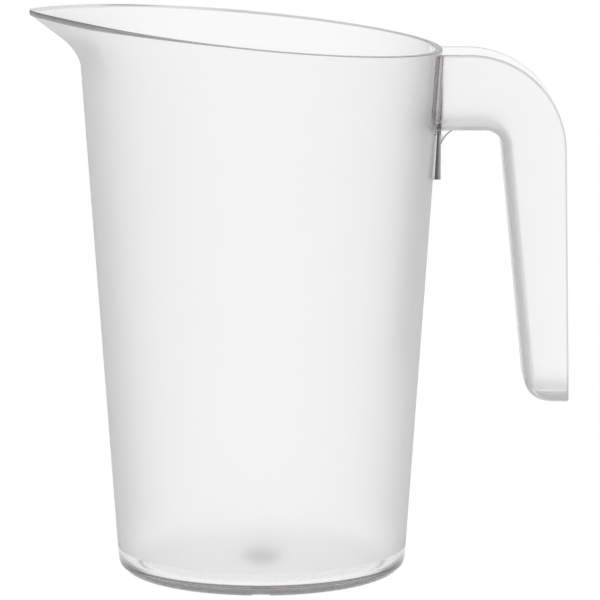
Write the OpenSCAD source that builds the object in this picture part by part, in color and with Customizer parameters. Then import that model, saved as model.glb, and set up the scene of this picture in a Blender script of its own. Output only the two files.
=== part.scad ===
// Beer pitcher: a tapered jug with a V-shaped pouring beak, and a U-channel handle welded to its back.
// Millimetres. +Z is up, the beak points to -X and the handle to +X.
// The origin is on the jug's axis, in the plane that it stands on.

/* [Vessel] */
// Radius that the tapered wall would have at the table
base_radius = 51; // [50:0.1:52]
// Outward lean of the wall, in degrees
wall_lean = 3.98; // [3.8:0.01:4.1]
// Wall thickness
wall = 2.3; // [2:0.1:2.6]
// Height of the rim on the axis
rim_height = 193.4; // [191:0.1:195]
// Slope of the rim, from the beak down to the handle, in degrees
rim_tilt = 5.71; // [5.2:0.01:6]

/* [Foot] */
// Radius of the rounding from the wall into the foot ring
foot_round = 5.2; // [4.4:0.1:6]
// Radius of the shallow recess inside the foot ring
recess_radius = 44; // [42:0.1:44.4]
// Depth of that recess
recess_depth = 1; // [0.6:0.1:1.5]
// Thickness of the floor
floor_thick = 2.4; // [2:0.1:3.2]
// Radius of the rounding between floor and wall, inside
floor_round = 3; // [2:0.1:4]
// Width of the drain notch across the foot ring
notch_w = 6.4; // [4:0.1:9]
// Depth of the drain notch
notch_d = 0.8; // [0.3:0.05:0.8]

/* [Beak] */
// Height at which the beak starts to leave the wall
beak_start = 180.7; // [179.5:0.1:182]
// Height over which the wall bends out into the beak
beak_bend = 11; // [9:0.1:13]
// Slope of the beak above the bend, outward per upward
beak_slope = 1.3; // [1.1:0.01:1.4]
// How fast the beak fades to each side, in degrees
beak_spread = 24; // [20:0.5:27]
// Roundness of the beak's tip, in degrees
tip_round = 4; // [3:0.5:6]
// Height of the upright edge at the beak's lip
lip_h = 1.7; // [1.2:0.1:2.2]
// Wall thickness at the beak's lip
lip_wall = 1.4; // [1.2:0.1:1.8]

/* [Rib] */
// Distance of the rib's flat outer face from the axis
rib_x = 63.4; // [63.2:0.05:63.5]
// Width of the rib
rib_w = 12; // [8:0.5:14]
// Height of the rib's square lower end
rib_low = 141; // [136:0.5:146]

/* [Handle] */
// Width of the handle
grip_w = 30; // [28:0.5:32]
// Thickness of the handle's side walls
side_wall = 2.4; // [2:0.1:3]
// Thickness of the handle's inner web
web = 2.6; // [2.2:0.1:3.2]
// Height of the arm's top edges
arm_top = 186; // [185:0.1:186.4]
// Height of the arm's underside
arm_low = 159.3; // [158:0.1:161]
// Radius of the outer bend
bend_out = 34.2; // [33:0.1:36]
// Radius of the inner bend
bend_in = 6; // [5:0.1:7.5]
// Distance of the grip's outer edge from the axis, at the bend
grip_x = 107.3; // [106:0.1:108]
// Height of the handle's tip
tip_z = 63; // [60:0.5:66]
// Radius of the tip's inner corner
tip_r = 8.5; // [7:0.1:9.5]
// Rounding of the edges that the fingers touch
edge_r = 3; // [2.6:0.1:4]
// How far the root flares to each side, where it meets the wall
root_flare = 3.6; // [2:0.1:4]
// How far the root's underside flares down there
root_drop = 2.3; // [1.2:0.1:2.8]
// Thickness of the gusset under the arm
gusset_t = 1.6; // [1.2:0.1:2.4]

/* [Hidden] */
$fn = 96;
k = tan(wall_lean);
wall_h = wall * sqrt(1 + k * k);           // wall thickness measured level
floor_z = recess_depth + floor_thick;      // top of the floor
seam_z = 178;                              // the turned cup ends here and the rim with the beak begins
steps = 120;                               // steps round the rim
gap = 0.04;                                // the rim's facets stay this far inside the turned surfaces

function clamp01(v) = max(0, min(1, v));
function cone_r(z) = base_radius + k * z;

// ---- turned cup -----------------------------------------------------------
// points on an arc, from angle a to angle b
function arc(cx, cy, r, a, b, n) = [for (i = [0 : n]) let (t = a + (b - a) * i / n) [cx + r * cos(t), cy + r * sin(t)]];
// centre of the outer rounding: it touches the table and the leaning wall
foot_c = base_radius + k * foot_round - foot_round / cos(wall_lean);
// centre of the inner rounding: it touches the floor and the inner wall
floor_c = cone_r(floor_z + floor_round) - wall_h - floor_round / cos(wall_lean);

module cup_profile() {
    polygon(concat(
        [[0, recess_depth], [recess_radius - 1, recess_depth], [recess_radius, 0]],
        arc(foot_c, foot_round, foot_round, -90, -wall_lean, 10),
        [[cone_r(seam_z), seam_z], [cone_r(seam_z) - wall_h, seam_z]],
        arc(floor_c, floor_z + floor_round, floor_round, -wall_lean, -90, 8),
        [[0, floor_z]]
    ));
}

// ---- rim and beak ---------------------------------------------------------
// share of the beak's reach at p degrees from its middle
function beak_share(p) = let (a = abs(p)) a >= 80 ? 0
    : exp(-(sqrt(a * a + tip_round * tip_round) - tip_round) / beak_spread) * (1 - pow(a / 80, 4));
// reach of the beak at height z, in its middle, and its slope there
function beak_reach(z) = z <= beak_start ? 0
    : z < beak_start + beak_bend ? beak_slope / (2 * beak_bend) * pow(z - beak_start, 2)
    : beak_slope * (z - beak_start - beak_bend / 2);
function beak_rise(z) = z <= beak_start ? 0
    : z < beak_start + beak_bend ? beak_slope * (z - beak_start) / beak_bend : beak_slope;
function outer_r(p, z) = cone_r(z) + beak_share(p) * beak_reach(z);
function outer_slope(p, z) = k + beak_share(p) * beak_rise(z);
// height of the rim at x: a tilted plane that flattens a little towards the beak's tip
function rim_z(x) = rim_height - tan(rim_tilt) * x - (x < -50 ? 0.8 * pow((-50 - x) / 32, 2) : 0);
function lip_share(p) = clamp01(beak_share(p) * 3.4);
// height at which the outer surface ends, found by repeated substitution
function outer_end(p, z = rim_height, n = 6) = n == 0 ? z
    : outer_end(p, rim_z(-outer_r(p, z) * cos(p)) - lip_h * lip_share(p), n - 1);
function wall_at(p, z) = wall - (wall - lip_wall) * lip_share(p) * clamp01((z - seam_z) / 14);
// the inner surface is the outer one moved in by the wall's thickness, as [radius, height]
function inner_at(p, z) = let (s = outer_slope(p, z), t = wall_at(p, z), q = sqrt(1 + s * s))
    [outer_r(p, z) - t / q, z + t * s / q];
function inner_end(p, z = rim_height, n = 8) = n == 0 ? z
    : let (q = inner_at(p, z)) inner_end(p, z + rim_z(-q[0] * cos(p)) - q[1], n - 1);

// rows up the wall, closer together where the beak bends
rows = [0, 0.1, 0.24, 0.38, 0.52, 0.65, 0.77, 0.89, 1];
low = seam_z - 0.8;
// angle of step i from the beak's middle, closer together at the beak
function step_angle(i) = let (u = i / steps, a = 360 * (u - 0.4 * sin(360 * u) / (2 * PI))) a > 180 ? a - 360 : a;
function rim_section(p) = let (eo = outer_end(p), ei = inner_end(p)) concat(
    [for (f = rows) let (z = low + (eo - low) * f) [outer_r(p, z) - gap, z]],
    [for (i = [len(rows) - 1 : -1 : 0]) let (q = inner_at(p, low + (ei - low) * rows[i])) [q[0] + gap, q[1]]]
);

// a closed tube of sections: every section is a closed loop, and the last joins the first
module closed_skin(loops) {
    n = len(loops);
    m = len(loops[0]);
    polyhedron(
        points = [for (l = loops) for (q = l) q],
        faces = [for (i = [0 : n - 1]) for (j = [0 : m - 1]) let (a = i * m + j, b = i * m + (j + 1) % m,
            c = ((i + 1) % n) * m + (j + 1) % m, d = ((i + 1) % n) * m + j) each [[a, b, c], [a, c, d]]]
    );
}

module rim_ring() {
    closed_skin([for (i = [0 : steps - 1]) let (p = step_angle(i))
        [for (q = rim_section(p)) [-q[0] * cos(p), -q[0] * sin(p), q[1]]]]);
}

// ---- rib ------------------------------------------------------------------
rib_top = (rib_x - base_radius) / k - 2;
module rib() {
    translate([0, rib_w / 2, 0]) rotate([90, 0, 0]) linear_extrude(rib_w) polygon([
        [cone_r(rib_low) - 1.1, rib_low], [rib_x, rib_low], [rib_x, rib_top], [cone_r(rib_top) - 1.1, rib_top]
    ]);
}

module vessel() {
    color("whitesmoke", 0.6) {
        difference() {
            union() {
                rotate_extrude() cup_profile();
                rib();
                rim_ring();
            }
            // drain notch across the foot ring, towards -Y
            translate([-notch_w / 2, -base_radius - 2, -1]) cube([notch_w, base_radius - recess_radius + 4, 1 + notch_d]);
        }
    }
}

// ---- handle ---------------------------------------------------------------
hw = grip_w / 2;
chan = hw - side_wall;                       // half width of the channel
in_c = [78.85, arm_low - bend_in];           // centre of the inner bend
out_c = [grip_x - bend_out, arm_top - bend_out];
tip_c = [101.5, tip_z + tip_r];
lean_in = 5.8;                               // lean of the grip's inner edge, in degrees
lean_out = 0.9;                              // lean of its outer edge
grip_a = in_c + bend_in * [cos(lean_in), sin(lean_in)];
grip_b = tip_c - tip_r * [cos(lean_in), sin(lean_in)];
edge_a = out_c + bend_out * [cos(lean_out), sin(lean_out)];
edge_b = [edge_a[0] + 1.4, grip_b[1]];

// the root in slanted sections: distance from the wall's slope in the middle plane, and share of the sideways flare there
function root_s(t) = t < 0 ? -7 : -2.8 * pow(1 - t, 2) - 3.6 * t * (1 - t) + 3 * t * t;
function root_f(t) = t < 0 ? 1 : pow(1 - t, 2);
function root_low(s) = arm_low - root_drop * pow(clamp01((3.5 - s) / 3.5), 2);

// stations along the handle: inner edge, outer edge, half width, edge rounding, channel (1) or solid (0)
stations = concat(
    [for (t = [-1, 0, 0.12, 0.25, 0.4, 0.55, 0.7, 0.85, 1]) let (s = root_s(t), f = root_f(t), z = root_low(s))
        [[cone_r(z) + s, z], [cone_r(arm_top) + s, arm_top], hw + root_flare * f, edge_r + 7 * f, 1]],
    [for (i = [0 : 12]) let (a = 90 - (90 - lean_in) * i / 12, b = 90 - (90 - lean_out) * i / 12)
        [in_c + bend_in * [cos(a), sin(a)], out_c + bend_out * [cos(b), sin(b)], hw, edge_r, 1]],
    [for (i = [1 : 4]) let (t = i / 4.05) [grip_a + (grip_b - grip_a) * t, edge_a + (edge_b - edge_a) * t, hw, edge_r, 1]],
    [for (i = [0 : 8]) let (a = 180 + lean_in + (90 - lean_in) * i / 8, q = tip_c + tip_r * [cos(a), sin(a)], d = q[1] - tip_z)
        [q, [edge_b[0] - (i == 8 ? 0.6 : 0), i == 8 ? tip_z : q[1]], hw - 0.7 * pow(clamp01(1 - d / 1.5), 2), edge_r,
            i < 3 ? 1 : 0]]
);

// half of the outline in a section, from the open edge round to the middle: [depth from the inner edge, half width]
function skin_half(L, w, r) = concat([[L, w], [(L + r) / 2, w]], [for (a = [0 : 15 : 90]) [r - r * sin(a), w - r + r * cos(a)]]);
function chan_half(L, r) = concat([[L, chan], [(L + web + r) / 2, chan]],
    [for (a = [0 : 15 : 90]) [web + r - r * sin(a), chan - r + r * cos(a)]]);
function both(h, mid) = concat(h, [mid], [for (i = [len(h) - 1 : -1 : 0]) [h[i][0], -h[i][1]]]);
function section(s) = let (a = s[0], b = s[1], L = norm(b - a), d = (b - a) / L,
    o = both(skin_half(L, s[2], s[3]), [0, 0]),
    c = both(chan_half(L, 1.2), [web, 0]),
    e = [for (q = c) [s[4] == 1 ? q[0] : L, q[1]]],
    loop = concat(o, [for (i = [len(e) - 1 : -1 : 0]) e[i]]))
    [for (q = loop) [a[0] + d[0] * q[0], q[1], a[1] + d[1] * q[0]]];

module handle_skin() {
    loops = [for (s = stations) section(s)];
    n = len(loops);
    m = len(loops[0]);
    h = m / 2;
    last = (n - 1) * m;
    polyhedron(
        points = [for (l = loops) for (q = l) q],
        faces = concat(
            [for (i = [0 : n - 2]) for (j = [0 : m - 1]) let (a = i * m + j, b = i * m + (j + 1) % m,
                c = (i + 1) * m + (j + 1) % m, d = (i + 1) * m + j) each [[a, c, b], [a, d, c]]],
            [for (j = [0 : h - 2]) each [[j, j + 1, m - 2 - j], [j, m - 2 - j, m - 1 - j]]],
            [for (j = [0 : h - 2]) each [[last + j, last + m - 2 - j, last + j + 1], [last + j, last + m - 1 - j, last + m - 2 - j]]]
        )
    );
}

// thin web in the corner under the arm, with a hollow edge
module gusset() {
    translate([0, gusset_t / 2, 0]) rotate([90, 0, 0]) linear_extrude(gusset_t) polygon(concat(
        [[rib_x, arm_low + 1], [rib_x, arm_low - 7.6]],
        arc(rib_x + 9, arm_low - 9.4, 9.2, 168, 101, 8),
        [[rib_x + 6.8, arm_low + 1]]
    ));
}

module handle() {
    color("whitesmoke", 0.6) difference() {
        union() {
            handle_skin();
            gusset();
        }
        cylinder(h = 220, r1 = base_radius, r2 = cone_r(220));
        rib();
    }
}

vessel();
handle();
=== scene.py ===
import math
import bpy
import bmesh
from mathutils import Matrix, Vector


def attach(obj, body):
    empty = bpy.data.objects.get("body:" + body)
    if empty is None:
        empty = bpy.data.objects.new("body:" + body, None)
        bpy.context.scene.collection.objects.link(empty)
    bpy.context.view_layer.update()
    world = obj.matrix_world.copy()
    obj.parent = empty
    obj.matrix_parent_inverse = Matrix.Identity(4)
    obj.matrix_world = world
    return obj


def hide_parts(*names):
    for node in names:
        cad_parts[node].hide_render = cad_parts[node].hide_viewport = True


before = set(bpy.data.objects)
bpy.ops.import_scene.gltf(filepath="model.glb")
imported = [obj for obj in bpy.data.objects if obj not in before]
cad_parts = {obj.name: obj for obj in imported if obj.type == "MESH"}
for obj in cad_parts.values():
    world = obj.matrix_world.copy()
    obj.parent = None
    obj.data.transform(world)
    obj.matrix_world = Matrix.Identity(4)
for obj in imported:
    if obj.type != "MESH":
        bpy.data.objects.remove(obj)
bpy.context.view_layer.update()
scene = bpy.context.scene

# ---------------------------------------------------------------- dimensions, in millimetres, as in the CAD model
base_radius, wall_lean, wall = 51.0, 3.98, 2.3
rim_height, rim_tilt = 193.4, 5.71
foot_round, recess_radius, recess_depth = 5.2, 44.0, 1.0
floor_thick, floor_round = 2.4, 3.0
notch_w, notch_d = 6.4, 0.8
beak_start, beak_bend, beak_slope = 180.7, 11.0, 1.3
beak_spread, tip_round, lip_h, lip_wall = 24.0, 4.0, 1.7, 1.4
rib_x, rib_w, rib_low = 63.4, 12.0, 141.0
grip_w, side_wall, web = 30.0, 2.4, 2.6
arm_top, arm_low = 186.0, 159.3
bend_out, bend_in, grip_x = 34.2, 6.0, 107.3
tip_z, tip_r, edge_r, gusset_t = 63.0, 8.5, 3.0, 1.6
seam_z = 178.0
frost_low = 8.9          # the frosted finish starts here, above the polished foot
root_flare, root_drop = 3.6, 2.3   # how far the handle's root flares to each side and down, where it meets the wall

k = math.tan(math.radians(wall_lean))
cosl = math.cos(math.radians(wall_lean))
wall_h = wall * math.sqrt(1 + k * k)
floor_z = recess_depth + floor_thick
foot_c = base_radius + k * foot_round - foot_round / cosl


def cosd(a): return math.cos(math.radians(a))
def sind(a): return math.sin(math.radians(a))
def clamp01(v): return max(0.0, min(1.0, v))
def cone_r(z): return base_radius + k * z


floor_c = cone_r(floor_z + floor_round) - wall_h - floor_round / cosl


# ---------------------------------------------------------------- mesh helpers
def bend(a, b, c, size, n=5):
    """Points that round the corner b between a and c, from the a side to the c side."""
    a, b, c = Vector(a), Vector(b), Vector(c)
    s = min(size, 0.48 * (a - b).length, 0.48 * (c - b).length)
    p, q = b + (a - b).normalized() * s, b + (c - b).normalized() * s
    out = []
    for i in range(n):
        t = i / (n - 1)
        out.append(tuple((1 - t) ** 2 * p + 2 * t * (1 - t) * b + t * t * q))
    return out


def new_object(name, verts, faces, finish, painted_shade, material, sharp=40):
    me = bpy.data.meshes.new(name)
    me.from_pydata([Vector(v) * 0.001 for v in verts], [], faces)
    me.materials.append(material)
    me.attributes.new("finish", "FLOAT", "FACE").data.foreach_set("value", finish)
    # per-face painted shade: 1 leaves the colour as it is, less paints it darker grey as shade
    me.attributes.new("painted_shade", "FLOAT", "FACE").data.foreach_set("value", painted_shade)
    bm = bmesh.new()
    bm.from_mesh(me)
    bmesh.ops.recalc_face_normals(bm, faces=bm.faces)
    bm.to_mesh(me)
    bm.free()
    me.shade_smooth()
    me.set_sharp_from_angle(angle=math.radians(sharp))
    ob = bpy.data.objects.new(name, me)
    scene.collection.objects.link(ob)
    return ob


# ---------------------------------------------------------------- materials
def link(nt, a, b):
    nt.links.new(a, b)


def mixed(nt, kind, a, b):
    n = nt.nodes.new("ShaderNodeMath")
    n.operation = kind
    for i, v in enumerate((a, b)):
        if isinstance(v, (int, float)):
            n.inputs[i].default_value = v
        else:
            link(nt, v, n.inputs[i])
    return n.outputs[0]


def plastic(name, matt, gloss, density):
    """Clear moulded plastic. The faces' finish runs from 0, frosted with a fine grain, to 1, polished with slow waves.
    Their painted shade value is 1, and less where darker grey is painted on as shade: at polished edges, the rim and
    lip, the foot's lines, the rib's sides, the floor's middle and the handle's root and edges.
    The painted shade counts where light enters, and not where it leaves."""
    m = bpy.data.materials.new(name)
    m.use_nodes = True
    nt = m.node_tree
    nt.nodes.clear()
    out = nt.nodes.new("ShaderNodeOutputMaterial")
    bsdf = nt.nodes.new("ShaderNodeBsdfPrincipled")
    bsdf.inputs["IOR"].default_value = 1.49
    bsdf.inputs["Transmission Weight"].default_value = 1.0
    co = nt.nodes.new("ShaderNodeTexCoord")
    finish = nt.nodes.new("ShaderNodeAttribute")
    finish.attribute_name = "finish"
    finish = finish.outputs["Fac"]
    painted_shade = nt.nodes.new("ShaderNodeAttribute")
    painted_shade.attribute_name = "painted_shade"
    side = nt.nodes.new("ShaderNodeNewGeometry")
    # painted shade: the ramp turns each face's painted shade value into a darker grey base colour, on front faces only
    ramp = nt.nodes.new("ShaderNodeValToRGB")
    ramp.color_ramp.elements[0].color = (0, 0, 0, 1)
    ramp.color_ramp.elements[1].color = (1, 1, 1, 1)
    ramp.color_ramp.elements.new(0.3).color = (0.30, 0.268, 0.262, 1)
    link(nt, mixed(nt, "MAXIMUM", painted_shade.outputs["Fac"], side.outputs["Backfacing"]), ramp.inputs["Fac"])
    link(nt, ramp.outputs["Color"], bsdf.inputs["Base Color"])
    waves = []
    for scale, detail in ((1500.0, 3.0), (45.0, 2.0)):
        w = nt.nodes.new("ShaderNodeTexNoise")
        w.inputs["Scale"].default_value = scale
        w.inputs["Detail"].default_value = detail
        link(nt, co.outputs["Object"], w.inputs["Vector"])
        waves.append(w.outputs["Fac"])
    fine, slow = waves
    matt_part = mixed(nt, "SUBTRACT", 1.0, finish)
    # roughness: the frosted part with its grain, and the polished part with slow waves
    rough_matt = mixed(nt, "MULTIPLY", matt_part, mixed(nt, "ADD", mixed(nt, "MULTIPLY", fine, 0.12), matt - 0.06))
    rough_gloss = mixed(nt, "MULTIPLY", finish, mixed(nt, "ADD", mixed(nt, "MULTIPLY", slow, 0.04), gloss - 0.02))
    link(nt, mixed(nt, "ADD", rough_matt, rough_gloss), bsdf.inputs["Roughness"])
    bp = nt.nodes.new("ShaderNodeBump")
    bp.inputs["Strength"].default_value = 0.08
    bp.inputs["Distance"].default_value = 0.0001
    link(nt, mixed(nt, "MULTIPLY", matt_part, fine), bp.inputs["Height"])
    link(nt, bp.outputs["Normal"], bsdf.inputs["Normal"])
    vol = nt.nodes.new("ShaderNodeVolumeAbsorption")
    vol.inputs["Color"].default_value = (0.30, 0.29, 0.28, 1)
    vol.inputs["Density"].default_value = density
    link(nt, bsdf.outputs["BSDF"], out.inputs["Surface"])
    link(nt, vol.outputs["Volume"], out.inputs["Volume"])
    return m


FROSTED, SATIN, POLISHED = 0.0, 0.72, 1.0
frosted = plastic("frosted_plastic", 0.35, 0.05, 10.0)
frosted_grip = plastic("frosted_handle", 0.35, 0.05, 1.5)


# ---------------------------------------------------------------- vessel
def share(p):
    a = abs(p)
    if a >= 80:
        return 0.0
    return math.exp(-(math.sqrt(a * a + tip_round ** 2) - tip_round) / beak_spread) * (1 - (a / 80) ** 4)


def reach(z):
    if z <= beak_start:
        return 0.0
    if z < beak_start + beak_bend:
        return beak_slope / (2 * beak_bend) * (z - beak_start) ** 2
    return beak_slope * (z - beak_start - beak_bend / 2)


def rise(z):
    if z <= beak_start:
        return 0.0
    return beak_slope * min(1.0, (z - beak_start) / beak_bend)


def outer_r(p, z): return cone_r(z) + share(p) * reach(z)
def lip_share(p): return clamp01(share(p) * 3.4)
def rim_z(x): return rim_height - math.tan(math.radians(rim_tilt)) * x - (0.8 * ((-50 - x) / 32) ** 2 if x < -50 else 0)


def outer_end(p):
    z = rim_height
    for _ in range(12):
        z = rim_z(-outer_r(p, z) * cosd(p)) - lip_h * lip_share(p)
    return z


def inner_at(p, z):
    s = k + share(p) * rise(z)
    t = wall - (wall - lip_wall) * lip_share(p) * clamp01((z - seam_z) / 14)
    q = math.sqrt(1 + s * s)
    return outer_r(p, z) - t / q, z + t * s / q


def inner_end(p):
    z = rim_height
    for _ in range(16):
        q = inner_at(p, z)
        z += rim_z(-q[0] * cosd(p)) - q[1]
    return z


wall_rows = sorted(set([6.2, 7.6, 8.7, 8.9, 9.1, 11, 14, 18] + [24 + 8 * i for i in range(15)]
                       + [139, 140.6, 140.95, 141.0, 141.04, 141.1, 141.2, 141.35, 142.5, 146, 150, 154, 157, 160, 163, 167, 171, 174.5, 178]))
fall_rows = [178 - 6 * i for i in range(1, 28)] + [12, 9, 7.5]
climb = [i / 18 for i in range(1, 19)]
gate = [(1.0, 1.05), (1.3, 1.2), (1.9, 1.4), (2.8, 1.35), (3.8, 1.15), (4.8, 1.04), (6.0, 1.0)]


def profile(p):
    """The wall's outline at p degrees from the beak's middle, from the middle of the underside, up, over the rim and down to the middle of the floor.
    Each point is (radius, height, zone): zone says what finish the strip that starts there has."""
    pts = [(r, z, "under") for r, z in [(0.5, 1.12)] + gate + [(10, 1), (16, 1), (22, 1), (28, 1), (34, 1), (39, 1)]]
    pts += [(r, z, "under") for r, z in bend((39, 1), (recess_radius - 1, 1), (recess_radius, 0), 0.3, 4)]
    pts += [(r, z, "under") for r, z in bend((recess_radius - 1, 1), (recess_radius, 0), (foot_c, 0), 0.3, 4)]
    pts.append(((recess_radius + foot_c) / 2 + 0.2, 0, "under"))
    for t in (-90, -84, -78, -72, -66, -60, -52, -43, -34, -27, -19, -14, -9, -6, -wall_lean):
        pts.append((foot_c + foot_round * cosd(t), foot_round + foot_round * sind(t),
                    {-27: "line", -19: "curb", -14: "brow", -9: "brow"}.get(t, "foot")))
    for z in wall_rows:
        pts.append((cone_r(z), z, "foot" if z < frost_low - 0.01 else "out"))
    eo, ei = outer_end(p), inner_end(p)
    up = [(outer_r(p, seam_z + (eo - seam_z) * f), seam_z + (eo - seam_z) * f) for f in climb]
    down = [inner_at(p, seam_z + (ei - seam_z) * f) for f in climb][::-1]
    pts += [(r, z, "out") for r, z in up[:-1]]
    lip = lip_share(p)
    edge = [(r, z, "edge") for r, z in bend(up[-2], up[-1], down[0], 0.8 - 0.4 * lip, 7)]
    brim = bend(up[-1], down[0], down[1], 0.45 - 0.3 * lip, 6)
    pts += edge[:-1]
    for i in range(4):
        a, b = edge[-1], brim[0]
        pts.append((a[0] + (b[0] - a[0]) * i / 4, a[1] + (b[1] - a[1]) * i / 4, "top%d" % i))
    pts += [(r, z, "brim" if i else "crest") for i, (r, z) in enumerate(brim)]
    pts += [(r, z, "in") for r, z in down[1:]]
    r0, z0 = inner_at(p, seam_z)
    pts.append((r0, z0, "in"))
    pts += [(cone_r(z) - wall_h, z, "in") for z in fall_rows]
    for i in range(11):
        t = -wall_lean - (90 - wall_lean) * i / 10
        pts.append((floor_c + floor_round * cosd(t), floor_z + floor_round + floor_round * sind(t), "corner"))
    pts += [(r, floor_z - d, "in") for r, d in ((42, 0), (37, 0), (31, 0), (25, 0), (19, 0), (13, 0), (8, 0), (6.4, 0.1), (5.4, 0.4), (4.4, 0.65), (3.0, 0.7), (1.5, 0.7))]
    return pts


def columns():
    """Angles round the vessel. Those across the rib keep their distance from the middle plane."""
    cols = [("p", a) for a in [0.5 * i for i in range(-60, 61)]]
    cols += [("p", s * a) for a in [30 + 1.5 * i for i in range(1, 35)] for s in (1, -1)]
    n = math.degrees(math.asin(notch_w / 2 / 45))
    cols += [("p", 90 + s * (n + d)) for d in (-1.2, -0.3, -0.12, -0.03, 0.03, 0.12, 0.3, 1.2) for s in (1, -1)] + [("p", 90.0)]
    cols += [("p", s * a) for a in [82.5] + [97.5 + 1.5 * i for i in range(0, 47)] for s in (1, -1)]
    cols += [("p", -a) for a in (84, 85.5, 87, 88.5, 90, 91.5, 93, 94.5, 96)] + [("p", a) for a in (84, 96)]
    cols += [("y", y) for e in (0, 1.5, 3, 4.5, 5.3, 5.65, 5.8, 5.9, 5.96, 5.97, 5.98, 5.99, 6.0, 6.05, 6.4, 7.2, 8.4, 10) for y in ((e, -e) if e else (0.0,))]
    seen = {}
    for kind, v in cols:
        a = v if kind == "p" else 180 + math.degrees(math.asin(v / 60))
        a = a % 360
        seen.setdefault(round(a, 3), (kind, v))
    return [seen[a] for a in sorted(seen)]


def vessel():
    verts, faces, mats, painted_shades = [], [], [], []
    cols = columns()
    grid = []
    zones, lips = None, []
    for kind, v in cols:
        p = ((v + 180) % 360 - 180) if kind == "p" else 180.0
        prof = profile(p)
        zones = [q[2] for q in prof]
        lips.append(lip_share(p))
        row = []
        for r, z, zone in prof:
            a = v if kind == "p" else 180 + math.degrees(math.asin(v / max(r, 48.0)))
            x, y = -r * cosd(a), -r * sind(a)
            # flat-faced rib down the back, under the arm, with small rounded edges
            if zone == "out" and abs(y) < 6.001 and rib_low - 0.001 <= z <= seam_z and kind == "y":
                e = min(rib_w / 2 - abs(y), z - rib_low)
                top = rib_x
                if e < 0.035:
                    top = x + (rib_x - 0.2 - x) * clamp01(e / 0.04)
                elif e < 0.35:
                    u = clamp01((0.35 - e) / 0.35)
                    top = rib_x - 0.35 * (1 - math.sqrt(max(0.0, 1 - u * u)))
                x = max(x, top)
            # drain notch across the foot ring
            if y < 0 and abs(x) < notch_w / 2 + 0.001 and kind == "p" and 42.5 < r < 50 and z < notch_d:
                z = notch_d
            row.append(len(verts))
            verts.append((x, y, z))
        grid.append(row)
    under, top = len(verts), len(verts) + 1
    verts += [(0, 0, 1.1), (0, 0, floor_z - 0.7)]
    slots = {"under": POLISHED, "foot": POLISHED, "curb": POLISHED, "brow": POLISHED, "line": -1.0, "out": FROSTED, "edge": POLISHED, "crest": POLISHED, "brim": POLISHED, "corner": SATIN, "in": SATIN}
    slots.update(("top%d" % i, POLISHED) for i in range(4))
    # painted shade of a zone on the plain rim, and at the beak's lip: darker grey painted on the rim's edge, top and
    # brim, on the lip, and as two shade lines on the foot (curb, brow)
    painted_shade_by_zone = {"edge": (0.25, 0.6), "top0": (1.0, 0.5), "top1": (1.0, 0.36), "top2": (1.0, 0.24), "top3": (1.0, 0.14), "crest": (1.0, 0.12), "brim": (0.42, 1.0), "curb": (0.22, 0.22), "brow": (0.09, 0.09)}
    n, m = len(grid), len(grid[0])
    for i in range(n):
        a, b = grid[i], grid[(i + 1) % n]
        faces.append((under, b[0], a[0])); mats.append(POLISHED); painted_shades.append(1.0)
        for j in range(m - 1):
            faces.append((a[j], b[j], b[j + 1], a[j + 1]))
            s = slots[zones[j]]
            g = painted_shade_by_zone.get(zones[j], (1.0, 1.0))
            g = g[0] + (g[1] - g[0]) * (lips[i] ** 3 if zones[j] == "edge" else math.sqrt(lips[i]))
            c = [sum(verts[q][d] for q in (a[j], b[j], b[j + 1], a[j + 1])) / 4 for d in range(3)]
            if zones[j] in ("edge", "top0", "top1", "top2", "top3", "crest", "brim"):
                s = 0.5 - 2.0 * math.sqrt(lips[i])
            if zones[j] == "out" and c[0] > 0:
                if abs(c[1]) < 6.03 and 140.97 < c[2] < 178:
                    s = POLISHED
                    # painted shade: dark strips painted along the rib's sides, and along its lower end
                    if abs(c[1]) > 5.95:
                        g = 0.5 if abs(c[1]) > 5.99 else 0.004 if abs(c[1]) > 5.98 else 0.02 if abs(c[1]) > 5.97 else 0.12
                    elif c[2] < 141.03:
                        g = 0.2
                elif abs(c[1]) < 16.5 - 1.5 * max(0.0, 167.5 - c[2]) and c[2] < 186:
                    s = POLISHED
            # painted shade: the middle of the floor's dimple is painted nearly black
            if zones[j] == "in" and c[2] < 8 and math.hypot(c[0], c[1]) < 6.5:
                g = 0.01 if math.hypot(c[0], c[1]) < 5 else 0.15
            mats.append(s)
            painted_shades.append(g)
        # the floor's middle point is painted nearly black, as shade
        faces.append((top, a[-1], b[-1])); mats.append(SATIN); painted_shades.append(0.01)
    return new_object("vessel_shell", verts, faces, mats, painted_shades, frosted, 38)


# ---------------------------------------------------------------- handle
hw = grip_w / 2
chan = hw - side_wall
in_c = Vector((78.85, arm_low - bend_in))
out_c = Vector((grip_x - bend_out, arm_top - bend_out))
tip_c = Vector((101.5, tip_z + tip_r))
lean_in, lean_out = 5.8, 0.9
grip_a = in_c + bend_in * Vector((cosd(lean_in), sind(lean_in)))
grip_b = tip_c - tip_r * Vector((cosd(lean_in), sind(lean_in)))
edge_a = out_c + bend_out * Vector((cosd(lean_out), sind(lean_out)))
edge_b = Vector((edge_a[0] + 1.4, grip_b[1]))
pocket_low, pocket_r = 66.2, 1.4       # lower end of the channel and its rounding
bend_r = 1.2                           # rounding along the channel's floor
root_long = 1.2                        # length of the root in the middle plane
root_steps = [0, 0.04, 0.1, 0.17, 0.25, 0.34, 0.43, 0.52, 0.61, 0.7, 0.78, 0.8, 0.9, 1.0]


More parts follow.
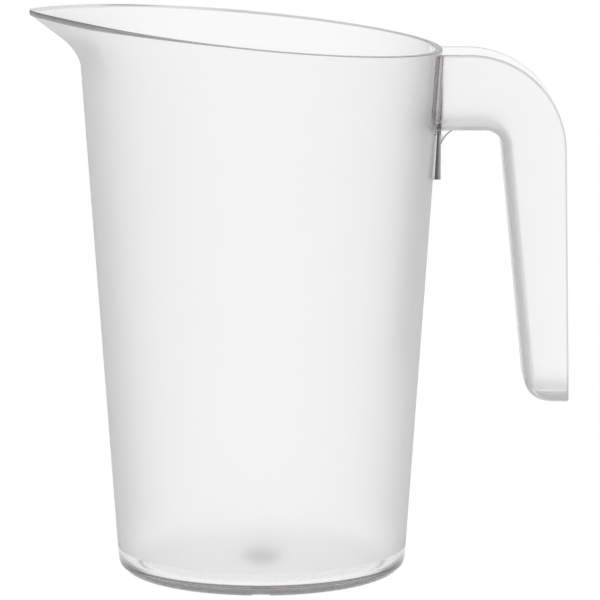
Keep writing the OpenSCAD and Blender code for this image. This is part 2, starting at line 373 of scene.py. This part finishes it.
def half_chains(L, w, r, deep, half):
    """Half of a section: outside from the middle of the finger side to the open edge, and the channel in the same order.
    Each point is (depth from the finger side, half width). deep and half are the channel's floor and half width."""
    o = [(0, 0), (0, 3), (0, 6.0), (0, 6.12), (0, (6.12 + w - r) / 2)]
    o += [(r - r * cosd(a), w - r + r * sind(a)) for a in range(0, 91, 10)]
    o += [(r + (L - r) * 0.3, w), (r + (L - r) * 0.65, w)] + bend((r, w), (L, w), (L, 0), 0.7, 5)
    c = [(deep, 0), (deep, 3), (deep, 6.0), (deep, 6.12), (deep, (6.12 + half - bend_r) / 2)]
    c += [(deep + bend_r - bend_r * cosd(a), half - bend_r + bend_r * sind(a)) for a in range(0, 91, 10)]
    c += [(deep + bend_r + (L - deep - bend_r) * 0.3, half), (deep + bend_r + (L - deep - bend_r) * 0.65, half)] + bend((deep, half), (L, half), (L, half + 9), 0.5, 5)
    return o, [(min(d, L), y) for d, y in c]


def loop_of(o, c):
    pos = [(d, y) for d, y in o[::-1]]
    neg = [(d, -y) for d, y in o[1:]]
    cneg = [(d, -y) for d, y in c[::-1]]
    cpos = [(d, y) for d, y in c[1:]]
    return pos + neg + cneg + cpos


def on_wall(y, z):
    x = math.sqrt(cone_r(z) ** 2 - y * y)
    if abs(y) < 6.06 and rib_low < z < seam_z:
        x = max(x, rib_x)
    return x + 0.03


def handle():
    loops = []

    def outline(w, drop, r):
        low = arm_low - drop
        o, c = half_chains(arm_top - low, w, r, web + drop, chan)
        return [(y, low + d) for d, y in loop_of(o, c)], len(o)

    # the root: from its wide outline on the wall, in a hollow curve that is tangent to the wall, to the plain section
    wide, half_n = outline(hw + root_flare, root_drop, edge_r + 7.0)
    plain, half_n = outline(hw, 0.0, edge_r)
    m = len(plain)
    for t in root_steps:
        loop = []
        for (y0, z0), (y1, z1) in zip(wide, plain):
            w0, w1, w2 = (1 - t) ** 2, 2 * t * (1 - t), t * t
            loop.append((w0 * on_wall(y0, z0) + w1 * on_wall(y1, z1) + w2 * (max(cone_r(z1), rib_x) + root_long),
                         (w0 * y0 + (w1 + w2) * y1), w0 * z0 + (w1 + w2) * z1))
        loops.append(loop)

    def add(a, b, w=hw, r=edge_r, deep=web, half=chan):
        L = (b - a).length
        d = (b - a) / L
        o, c = half_chains(L, w, r, min(deep, L), half)
        loops.append([(a[0] + d[0] * q, y, a[1] + d[1] * q) for q, y in loop_of(o, c)])

    for x in (67.5, 69.5, 72):
        add(Vector((x, arm_low)), Vector((x, arm_top)))
    for i in range(37):
        a, b = 90 - (90 - lean_in) * i / 36, 90 - (90 - lean_out) * i / 36
        add(in_c + bend_in * Vector((cosd(a), sind(a))), out_c + bend_out * Vector((cosd(b), sind(b))))
    for i in range(1, 11):
        t = i / 11
        add(grip_a.lerp(grip_b, t), edge_a.lerp(edge_b, t))

    heights = [grip_b[1] - 0.6 * i for i in range(0, 40)]
    heights = [z for z in heights if z > pocket_low + 1.6] + [pocket_low + v for v in (1.4, 1.15, 0.9, 0.65, 0.45, 0.28, 0.14, 0.06, 0.02)]
    heights += [pocket_low - 0.02] + [pocket_low - 0.4 * i for i in range(1, 4)] + [tip_z + v for v in (1.6, 1.2, 0.9, 0.6, 0.36, 0.18, 0.07, 0.0)]
    for z in heights:
        if z >= grip_b[1]:
            xi = grip_b[0]
        else:
            s = max(-1.0, min(1.0, (z - tip_c[1]) / tip_r))
            xi = tip_c[0] - tip_r * math.sqrt(max(0.0, 1 - s * s))
        d = z - tip_z
        u = clamp01(1 - d / 0.7)
        xo = edge_b[0] - 0.6 * (1 - math.sqrt(max(0.0, 1 - u * u)))
        v = clamp01(1 - d / 0.9)
        w = hw - 0.7 * (1 - math.sqrt(max(0.0, 1 - v * v)))
        deep, half = web, chan
        if z < pocket_low + pocket_r:
            if z >= pocket_low:
                e = pocket_r - math.sqrt(max(0.0, pocket_r ** 2 - (pocket_low + pocket_r - z) ** 2))
                deep, half = web + e, chan - e
            else:
                deep, half = 99.0, chan - pocket_r
        a, b = Vector((xi, z)), Vector((xo, z))
        add(a, b, w, min(edge_r, (xo - xi) * 0.45), deep, half)

    verts = [p for l in loops for p in l]
    faces, mats, painted_shades = [], [], []
    n = len(loops)
    for i in range(n - 1):
        for j in range(m):
            faces.append((i * m + j, i * m + (j + 1) % m, (i + 1) * m + (j + 1) % m, (i + 1) * m + j))
            channel = 2 * half_n - 1 <= j < m - 1
            root = root_steps[i] if i < len(root_steps) else 1.0
            mats.append(POLISHED if root < 0.8 else 0.2 if channel else FROSTED)
            # painted shade on the root's faces, where it flares onto the wall, darkest at both ends
            g = 1.0 if root >= 0.8 or channel else 0.2 if root < 0.1 or root >= 0.7 else 0.3 if root >= 0.34 else 0.45
            if root >= 0.8:
                # painted shade: thin darker lines along the open edges, and a grey band on the solid tip
                if j in (2 * half_n - 2, m - 1):
                    g = 0.3
                elif j < 4 or 2 * half_n - 6 <= j < 2 * half_n - 2:
                    g = 0.62
                elif not channel and loops[i][j][2] < pocket_low + 0.5:
                    g = 0.85 if loops[i][j][2] > pocket_low - 0.3 else 0.7
            painted_shades.append(g)
    # root end: between the outside and the channel
    for j in range(2 * half_n - 2):
        f = (j, j + 1, m - 2 - j, m - 1 - j)
        faces.append(f)
        mats.append(POLISHED)
        painted_shades.append(1.0)
    # tip: shrink the last loop to its middle
    last = (n - 1) * m
    cx = sum(verts[last + j][0] for j in range(m)) / m
    ring = len(verts)
    for f in (0.8, 0.4):
        for j in range(m):
            q = verts[last + j]
            verts.append((cx + (q[0] - cx) * f, q[1] * f, q[2]))
    mid = len(verts)
    verts.append((cx, 0, tip_z))
    for a, b in ((last, ring), (ring, ring + m)):
        for j in range(m):
            faces.append((a + j, a + (j + 1) % m, b + (j + 1) % m, b + j))
            mats.append(FROSTED)
            painted_shades.append(1.0)
    for j in range(m):
        faces.append((ring + m + j, ring + m + (j + 1) % m, mid))
        mats.append(FROSTED)
        painted_shades.append(1.0)
    return new_object("handle_channel", verts, faces, mats, painted_shades, frosted_grip, 38)


def gusset():
    """Thin web in the corner under the arm, with a hollow bevelled edge."""
    x0, z0 = rib_x + 0.03, arm_low + 1

    def chain(r):
        q = [(rib_x + 9 + r * cosd(168 - 67 * i / 16), arm_low - 9.4 + r * sind(168 - 67 * i / 16)) for i in range(17)]
        return [(x0, z0)] + [(max(x, x0), z) for x, z in q] + [(rib_x + 7.24, z0)]

    flat, edge = chain(9.2 + 0.5), chain(9.2)
    n = len(edge)
    verts = []
    for y, loop in ((-gusset_t / 2, flat), (0.35 - gusset_t / 2, edge), (gusset_t / 2 - 0.35, edge), (gusset_t / 2, flat)):
        verts += [(x, y, z) for x, z in loop]
    faces = [(0, i + 1, i) for i in range(1, n - 1)] + [(3 * n, 3 * n + i, 3 * n + i + 1) for i in range(1, n - 1)]
    painted_shades = [1.0] * len(faces)
    for q in range(3):
        for i in range(n):
            faces.append((q * n + i, q * n + (i + 1) % n, q * n + n + (i + 1) % n, q * n + n + i))
            # painted shade on the web's bevelled edge faces
            painted_shades.append(0.2 if 0 < i < n - 2 else 1.0)
    return new_object("handle_gusset", verts, faces, [POLISHED] * len(faces), painted_shades, frosted_grip, 30)


shell = vessel()
grip = handle()
fin = gusset()
mod = grip.modifiers.new("gusset", "BOOLEAN")
mod.operation, mod.solver, mod.object = "UNION", "EXACT", fin
dg = bpy.context.evaluated_depsgraph_get()
joined = bpy.data.meshes.new_from_object(grip.evaluated_get(dg))
grip.modifiers.clear()
bm = bmesh.new()
bm.from_mesh(joined)
bmesh.ops.remove_doubles(bm, verts=bm.verts, dist=2e-6)
bmesh.ops.dissolve_degenerate(bm, dist=1e-6, edges=bm.edges)
painted_shade_layer = bm.faces.layers.float["painted_shade"]
for f in bmesh.ops.holes_fill(bm, edges=[e for e in bm.edges if e.is_boundary], sides=0)["faces"]:
    f[painted_shade_layer] = 1.0
bm.to_mesh(joined)
bm.free()
grip.data = joined
joined.shade_smooth()
joined.set_sharp_from_angle(angle=math.radians(38))
bpy.data.objects.remove(fin)

for ob, node, slot in ((shell, "vessel", "frosted_plastic"), (grip, "handle", "frosted_handle")):
    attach(ob, "root")
    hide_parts(node)


# ---------------------------------------------------------------- floor, light and camera
FLOOR_LOW, FLOOR_DROP = 0.75, 0.2      # how far reflected light falls off, at most and per reflection
SKY_DARK, SKY_FROM, SKY_TO = 0.8, 5.0, 35.0   # the studio is white up to one height above the horizon and dark above another


def studio_level(nt, path):
    """Brightness of the white surroundings: 1 for light that comes straight or through the plastic, and less for light that was reflected on the way."""
    turns = mixed(nt, "SUBTRACT", path.outputs["Ray Depth"], path.outputs["Transmission Depth"])
    square = mixed(nt, "MULTIPLY", turns, turns)
    part = mixed(nt, "DIVIDE", 1.0 - FLOOR_LOW, mixed(nt, "ADD", mixed(nt, "MULTIPLY", square, FLOOR_DROP), 1.0))
    return mixed(nt, "ADD", part, FLOOR_LOW)


floor_me = bpy.data.meshes.new("floor")
floor_me.from_pydata([(-8, -8, -0.0001), (8, -8, -0.0001), (8, 8, -0.0001), (-8, 8, -0.0001)], [], [(0, 1, 2, 3)])
floor = bpy.data.objects.new("floor", floor_me)
scene.collection.objects.link(floor)
fm = bpy.data.materials.new("pale_floor")
fm.use_nodes = True
nt = fm.node_tree
nt.nodes.clear()
f_out = nt.nodes.new("ShaderNodeOutputMaterial")
f_em = nt.nodes.new("ShaderNodeEmission")
f_em.inputs["Color"].default_value = (1, 1, 1, 1)
link(nt, studio_level(nt, nt.nodes.new("ShaderNodeLightPath")), f_em.inputs["Strength"])
link(nt, f_em.outputs["Emission"], f_out.inputs["Surface"])
fm.cycles.emission_sampling = "NONE"
floor_me.materials.append(fm)

world = bpy.data.worlds.new("studio")
scene.world = world
world.use_nodes = True
nt = world.node_tree
bg = nt.nodes["Background"]
bg.inputs["Color"].default_value = (1, 1, 1, 1)
path = nt.nodes.new("ShaderNodeLightPath")
way = nt.nodes.new("ShaderNodeTexCoord")
xyz = nt.nodes.new("ShaderNodeSeparateXYZ")
link(nt, way.outputs["Generated"], xyz.inputs[0])
sky = nt.nodes.new("ShaderNodeMapRange")
sky.interpolation_type = "SMOOTHSTEP"
sky.inputs["From Min"].default_value = sind(SKY_FROM)
sky.inputs["From Max"].default_value = sind(SKY_TO)
sky.inputs["To Min"].default_value = 1.0
sky.inputs["To Max"].default_value = SKY_DARK
link(nt, xyz.outputs["Z"], sky.inputs["Value"])
level = mixed(nt, "MULTIPLY", sky.outputs["Result"], studio_level(nt, path))
link(nt, mixed(nt, "MAXIMUM", level, path.outputs["Is Camera Ray"]), bg.inputs["Strength"])
world.cycles.sampling_method = "NONE"

cam_data = bpy.data.cameras.new("camera")
cam_data.lens = 276.12
cam_data.sensor_width = 36.0
cam = bpy.data.objects.new("camera", cam_data)
scene.collection.objects.link(cam)
cam.location = (0.01371, -1.6158, 0.3624)
cam.rotation_euler = (math.radians(80.672), 0, 0)
cam_data.clip_end = 100
scene.camera = cam

scene.view_settings.view_transform = "Standard"
scene.cycles.max_bounces = 32
scene.cycles.glossy_bounces = 32
scene.cycles.transmission_bounces = 32
scene.cycles.transparent_max_bounces = 16
